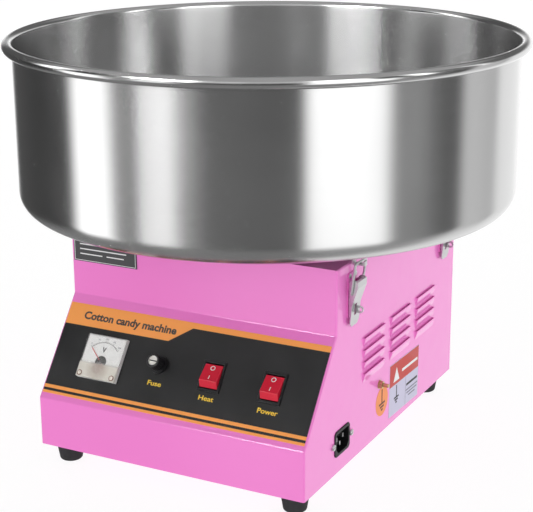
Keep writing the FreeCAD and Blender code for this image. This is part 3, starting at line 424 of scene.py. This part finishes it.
def meter_case_look():
    """Pale plastic round the dial; black plastic behind the panel and in the needle's pocket."""
    look = Look("meter_case_plastic", Specular_IOR_Level=0.35)
    u, v, out = panel_axes(look, METER_X, METER_DOWN - METER_PIVOT_V)
    front = look.calc("GREATER_THAN", out, FILM_TOP)
    front = look.calc("MULTIPLY", front, look.calc("GREATER_THAN", length(look, u, v), METER_POCKET_R))
    grain = look.noise(look.place, 1200.0, 3.0)
    pale = look.mix(grain, rgb(206, 207, 204), rgb(218, 219, 216))
    look.set(Base_Color=look.mix(front, rgb(26, 26, 28), pale))
    look.set(Roughness=look.spread(grain, 0.3, 0.7, 0.34, 0.46), Normal=look.bump(grain, 0.008))
    return look.material


def screw_look():
    """Small screws: brown on the meter's window, plated on the side panel."""
    look = Look("small_screw_steel", metal=1.0)
    across = look.calc("ABSOLUTE", look.dot(look.place, (1 / MM, 0, 0)))
    side = look.calc("GREATER_THAN", across, SIDE_FROM)
    speck = look.noise(look.place, 900.0, 3.0)
    look.set(Base_Color=look.mix(side, (0.58, 0.53, 0.48), PLATE))
    look.set(Roughness=look.spread(speck, 0.3, 0.7, 0.36, 0.48), Normal=look.bump(speck, 0.01))
    return look.material


def needle_look():
    """Red pointer with a black hub."""
    look = Look("needle_paint")
    u, v, _ = panel_axes(look, METER_X, METER_DOWN - METER_PIVOT_V)
    hub = look.calc("LESS_THAN", length(look, u, v), NEEDLE_HUB_R)
    speck = look.noise(look.place, 1500.0, 2.0)
    red = look.mix(speck, rgb(190, 34, 38), rgb(222, 42, 46))
    look.set(Base_Color=look.mix(hub, red, rgb(24, 24, 26)))
    look.set(Roughness=look.spread(speck, 0.3, 0.7, 0.34, 0.46), Normal=look.bump(speck, 0.008))
    return look.material


def overlay_print():
    """The panel film's print: an orange header, a black field and two orange stripes."""
    look = Look("overlay_print", Specular_IOR_Level=0.2)
    away = (0.0, -math.cos(SLOPE) / MM, -math.sin(SLOPE) / MM)
    down = look.dot(look.place, away, -(Y_UPPER * -math.cos(SLOPE) + Z_SLOPE_HIGH * -math.sin(SLOPE)))
    right = look.dot(look.place, (1 / MM, 0, 0), HALF_W)
    stops = [(at / FILM_SPAN, ink) for at, ink in FILM_INKS]
    stripes = look.ramp(look.calc("DIVIDE", down, FILM_SPAN), stops, "CONSTANT")
    corner = look.calc("MULTIPLY_ADD", down, -HEADER_LEAN, HEADER_WIDTH + HEADER_DOWN * HEADER_LEAN)
    header = look.calc("MULTIPLY", look.calc("LESS_THAN", down, HEADER_DOWN),
                       look.calc("LESS_THAN", right, corner))
    ink = look.mix(header, stripes, ORANGE_INK)
    grime = look.noise(look.place, 25.0, 3.0)
    look.set(Base_Color=look.mix(look.spread(grime, 0.2, 0.8, 0.0, 0.02), ink, (0.5, 0.5, 0.5)))
    look.set(Roughness=look.spread(grime, 0.3, 0.7, 0.29, 0.4))
    look.set(Normal=look.bump(look.noise(look.place, 1100.0, 2.0), 0.01))
    return look.material


def clear_plastic(name, frosted):
    """Thin clear plastic; the meter's window is frosted below its needle's pivot."""
    look = Look(name, rgb(250, 250, 248), 0.08)
    haze = look.spread(look.noise(look.place, 120.0, 3.0), 0.3, 0.7, 0.04, 0.09)
    if frosted:
        across, above, _ = panel_axes(look, METER_X, METER_DOWN - METER_PIVOT_V)
        frost = look.spread(above, -4.0, -1.0, 1.0, 0.0)
        far = look.spread(length(look, across, look.calc("ADD", above, 7.0)), 5.0, 14.0)
        blotch = look.mix(look.noise(look.place, 260.0, 3.0), rgb(182, 164, 152), rgb(234, 224, 214))
        tint = look.mix(far, blotch, rgb(248, 245, 234))
        look.set(Base_Color=look.mix(frost, rgb(250, 250, 248), tint))
        look.set(Roughness=look.spread(frost, 0.0, 1.0, 0.08, 0.35))
        haze = look.calc("MULTIPLY_ADD", frost, 0.5, haze)
    look.set(Alpha=haze)
    return look.material


MATERIALS = {
    "pink_paint": pink_paint("pink_paint"),
    "brushed_bowl": brushed_steel("brushed_bowl", BOWL_STEEL, 0.22, 0.85, 0.0022),
    "brushed_inside": brushed_steel("brushed_inside", BOWL_STEEL, 0.24, 0.98, 0.0022),
    "polished_rim": brushed_steel("polished_rim", (0.68, 0.68, 0.68), 0.16, 0.3, 0.0004),
    "plated_steel": worn_metal("plated_steel", (0.78, 0.78, 0.79), 0.36),
    "bearing_steel": worn_metal("bearing_steel", (0.55, 0.55, 0.56), 0.3),
    "heater_steel": worn_metal("heater_steel", (0.30, 0.26, 0.22), 0.45),
    "cast_aluminium": worn_metal("cast_aluminium", (0.70, 0.70, 0.71), 0.42, 500.0, 0.03),
    "brass": worn_metal("brass", (0.74, 0.60, 0.28), 0.32),
    "black_rubber": moulded("black_rubber", rgb(38, 38, 40), 0.7, 900.0, 0.03),
    "black_plastic": moulded("black_plastic", rgb(26, 26, 28), 0.34, Specular_IOR_Level=0.2),
    "red_plastic": moulded("red_plastic", rgb(222, 30, 58), 0.22, Coat_Weight=0.4),
    "insulator": moulded("insulator", rgb(120, 62, 38), 0.5),
    "carbon": moulded("carbon", rgb(48, 48, 50), 0.6),
    "wire_cover": moulded("wire_cover", rgb(60, 62, 70), 0.45),
    "motor_paint": moulded("motor_paint", rgb(70, 74, 80), 0.4, 700.0, 0.03),
    "overlay_print": overlay_print(),
    "plate_print": moulded("plate_print", rgb(66, 66, 68), 0.35),
    "label_print": moulded("label_print", rgb(206, 203, 226), 0.45),
    "sticker_print": moulded("sticker_print", rgb(250, 152, 88), 0.45),
    "dial_print": moulded("dial_print", rgb(252, 253, 251), 0.5),
    "needle_paint": needle_look(),
    "clear_plastic": clear_plastic("clear_plastic", True),
    "fuse_glass": clear_plastic("fuse_glass", False),
}


# Nodes that have more than one finish on them
OWN_LOOKS = {
    # The latch plates' pink near the panel is a painted reflection of the pink side panel in their plated
    # steel
    "latch_bases": pink_paint("latch_base_pink_reflection", LATCH_PINK_REFLECTION_TO),
    "fuse_cap": fuse_cap_look(),
    "voltmeter_case": meter_case_look(),
    "m3_screws": screw_look(),
}

for node_name, cad_node in NODES.items():
    for place in cad_node.material_slots:
        finish = place.material.name.split(".")[0]
        place.material = OWN_LOOKS.get(node_name, MATERIALS[finish])

# ---------------------------------------------------------------- printed marks

INK = {
    "dark": moulded("dark_ink", rgb(46, 42, 40), 0.5),
    "yellow": moulded("yellow_ink", rgb(255, 214, 62), 0.45),
    "white": moulded("white_ink", rgb(240, 240, 240), 0.4),
    "grey": moulded("grey_ink", rgb(120, 120, 134), 0.5),
    "red": moulded("red_ink", rgb(200, 62, 56), 0.45),
    "brown": moulded("brown_ink", rgb(112, 62, 40), 0.5),
    "black": moulded("black_ink", rgb(22, 22, 24), 0.45),
}


def earth_mark(x, y, size):
    """The usual earth sign: a stem over three bars, each shorter than the one above."""
    loops = [box_loop(x, y + size * 0.35, size * 0.12, size * 0.75)]
    for i, width in enumerate((0.78, 0.5, 0.22)):
        loops.append(box_loop(x, y - size * (0.08 + 0.17 * i), size * width, size * 0.11))
    return loops


def panel_marks():
    top = FILM_TOP
    lettering("panel_title", "Cotton candy machine", slope_place(-70.9, 22.3, top), 106.0, 10.5,
              INK["dark"], weight=0.034)
    for name, word, x, down, width in (("fuse_word", "Fuse", -24.4, 75.5, 15.0),
                                       ("heat_word", "Heat", 33.6, 80.0, 16.0),
                                       ("power_word", "Power", 98.6, 81.0, 21.0)):
        lettering(name, word, slope_place(x, down, top), width, 4.8, INK["yellow"],
                  weight=0.018)


def rocker_marks():
    for name, x in SWITCHES:
        face = slope_place(x, SWITCH_DOWN, ROCKER_PIVOT_N) @ Matrix.Rotation(-ROCKER_TILT, 4, "X")
        face = face @ Matrix.Translation((0, 0, ROCKER_FACE_N * MM))
        body = name + "_rocker"
        ring = ring_loops(2.1, ROCKER_LINE, centre=(0, ROCKER_MARK_V))
        bar = [box_loop(0, -ROCKER_MARK_V, ROCKER_LINE, 3.8)]
        printed(name + "_off_mark", ring, face, INK["white"], body)
        printed(name + "_on_mark", bar, face, INK["white"], body)


def dial_marks():
    face = slope_place(METER_X, METER_DOWN, DIAL_TOP)
    pivot = (0.0, METER_PIVOT_V)
    scale = ring_loops(DIAL_R, 0.4, -DIAL_HALF_SWEEP, DIAL_HALF_SWEEP, 40, pivot)
    printed("dial_arc", scale, face, INK["dark"], thick=DIAL_PRINT_T)
    ticks = []
    for i in range(DIAL_STEPS + 1):
        angle = DIAL_HALF_SWEEP * (2 * i / DIAL_STEPS - 1)
        reach = 2.0 if i % 5 == 0 else 1.1
        ticks += ring_loops(DIAL_R + reach / 2, reach, angle - 0.5, angle + 0.5, 1, pivot)
    printed("dial_ticks", ticks, face, INK["dark"], thick=DIAL_PRINT_T)
    for i, number in enumerate(("0", "75", "150", "225", "300")):
        angle = math.radians(NUMBERS_FROM + NUMBERS_STEP * i)
        x, v = NUMBERS_ACROSS * math.sin(angle), METER_PIVOT_V + NUMBERS_UP * math.cos(angle)
        lettering("dial_number_%d" % i, number, face @ Matrix.Translation((x * MM, v * MM, 0)),
                  1.1 * len(number), 1.7, INK["grey"], thick=DIAL_PRINT_T)
    rings = [loop for side in (-1, 1)
             for loop in ring_loops(2.4, 0.7, centre=(side * METER_SCREW_U, METER_SCREW_V), steps=24)]
    window = slope_place(METER_X, METER_DOWN, WINDOW_TOP)
    printed("window_rings", rings, window, INK["brown"], thick=0.1)
    lettering("dial_unit", "V", face @ Matrix.Translation((0, (METER_PIVOT_V + 12.3) * MM, 0)), 4.4, 5.4,
              INK["dark"], weight=0.05, thick=DIAL_PRINT_T)


def side_marks():
    label = side_place(LABEL_Y, LABEL_Z, PAPER_T, LABEL_TURN)
    printed("label_header", [box_loop(0, 15.7, 77.0, 23.6)], label, INK["red"])
    raised = label @ Matrix.Translation((0, 0, PRINT_T * MM))
    printed("label_triangle", [[(-29.0, 7.2), (-13.5, 7.2), (-21.2, 22.0)]], raised, INK["white"])
    printed("label_bar", [box_loop(14.5, 14.0, 42.0, 3.0)], raised, INK["white"])
    printed("label_divider", [box_loop(4.5, -12.2, 0.5, 31.0)], label, INK["grey"])
    printed("label_earth", earth_mark(-20.0, -9.5, 16.0), label, INK["black"])
    rows = [box_loop(21.5, y, w, 1.3) for y, w in ((-12.5, 32.0), (-16.0, 28.0), (-19.5, 18.0))]
    printed("label_rows", rows, label, INK["grey"])
    printed("label_heading", [box_loop(21.5, -6.5, 30.0, 2.6)], label, INK["black"])
    sticker = side_place(STICKER_Y, STICKER_Z, PAPER_T)
    printed("sticker_earth", earth_mark(0.0, -1.0, 19.0), sticker, INK["brown"])


def plate_marks():
    plate = place_at((PLATE_X, PLATE_Y, PLATE_Z), (1, 0, 0), (0, 0, 1))
    edge = [box_loop(0, side * PLATE_EDGE_V, 71.0, PLATE_LINE) for side in (-1, 1)]
    edge += [box_loop(side * PLATE_EDGE_U, 0, PLATE_LINE, 24.1) for side in (-1, 1)]
    printed("plate_border", edge, plate, INK["white"])
    rules = ((-12.0, 4.5, 34.0), (20.5, 4.5, 18.0), (-2.0, -0.5, 54.0), (-16.0, -5.5, 26.0),
             (12.0, -5.5, 20.0))
    printed("plate_rules", [box_loop(x, y, w, 1.1) for x, y, w in rules], plate, INK["white"])


# ---------------------------------------------------------------- bowl

def arc(centre_r, centre_z, radius, start, end, steps):
    """Points (radius, z) along an arc; degrees, 0 outwards and 90 up."""
    return [(centre_r + radius * math.cos(math.radians(start + (end - start) * i / steps)),
             centre_z + radius * math.sin(math.radians(start + (end - start) * i / steps)))
            for i in range(steps + 1)]


def bowl_outline():
    """The sheet's section as one closed loop of (radius, z): inside, then bead, then outside."""
    outer_r, inner_r, floor, sheet, mid_r, mid_z = 250.3, 249.3, 240.6, 1.0, 231.7, 259.2
    bead_r, bead_z, bead, curl = 254.7, 402.8, 5.3, -136
    inside = [(42.0, floor + 0.2), (42.0, 242.0), (42.0, 255.7), (42.3, 256.0), (42.7, 256.0),
              (43.0, 255.7), (43.0, 243.4)]
    inside += arc(44.8, 243.4, 1.8, 180, 270, 4)[1:]
    inside += [(50.0, floor + sheet), (140.0, floor + sheet), (230.0, floor + sheet)]
    inside += arc(mid_r, mid_z, 17.6, -90, 0, 18)
    inside += [(inner_r, 262.0), (inner_r, 330.0), (inner_r, 399.0)]
    rim = arc(bead_r, bead_z, bead, 179, curl, 44)
    hem = arc(bead_r, bead_z, bead - sheet, curl, 150, 36)
    outside = [(outer_r, 403.0), (outer_r, 400.0), (outer_r, 330.0), (outer_r, 262.0)]
    outside += arc(mid_r, mid_z, 18.6, 0, -90, 18)
    outside += [(230.0, floor), (140.0, floor), (50.0, floor), (42.2, floor)]
    return inside + rim + hem + outside, len(inside), len(inside) + len(rim)


def spun_bowl():
    """The bowl as one smooth turned sheet, finer than the CAD node's mesh."""
    outline, rim_from, rim_to = bowl_outline()
    turns, count = 384, len(outline)
    points = []
    for i in range(turns):
        c, s = math.cos(2 * math.pi * i / turns), math.sin(2 * math.pi * i / turns)
        points += [(r * c * MM, r * s * MM, z * MM) for r, z in outline]
    faces = []
    for i in range(turns):
        here, there = i * count, (i + 1) % turns * count
        steps = [(j, (j + 1) % count) for j in range(count)]
        faces += [(here + j, there + j, there + k, here + k) for j, k in steps]
    mesh = bpy.data.meshes.new("spun_bowl")
    mesh.from_pydata(points, [], faces)
    mesh.materials.append(MATERIALS["brushed_bowl"])
    mesh.materials.append(MATERIALS["polished_rim"])
    mesh.materials.append(MATERIALS["brushed_inside"])
    for index, face in enumerate(mesh.polygons):
        face.use_smooth = True
        step = index % count
        face.material_index = 2 if step < rim_from else 1 if step < rim_to else 0
    piece = bpy.data.objects.new("spun_bowl", mesh)
    SCENE.collection.objects.link(piece)
    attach(piece, "root")
    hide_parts("bowl")


spun_bowl()
panel_marks()
rocker_marks()
dial_marks()
side_marks()
plate_marks()
add_camera()
add_world()
add_floor()
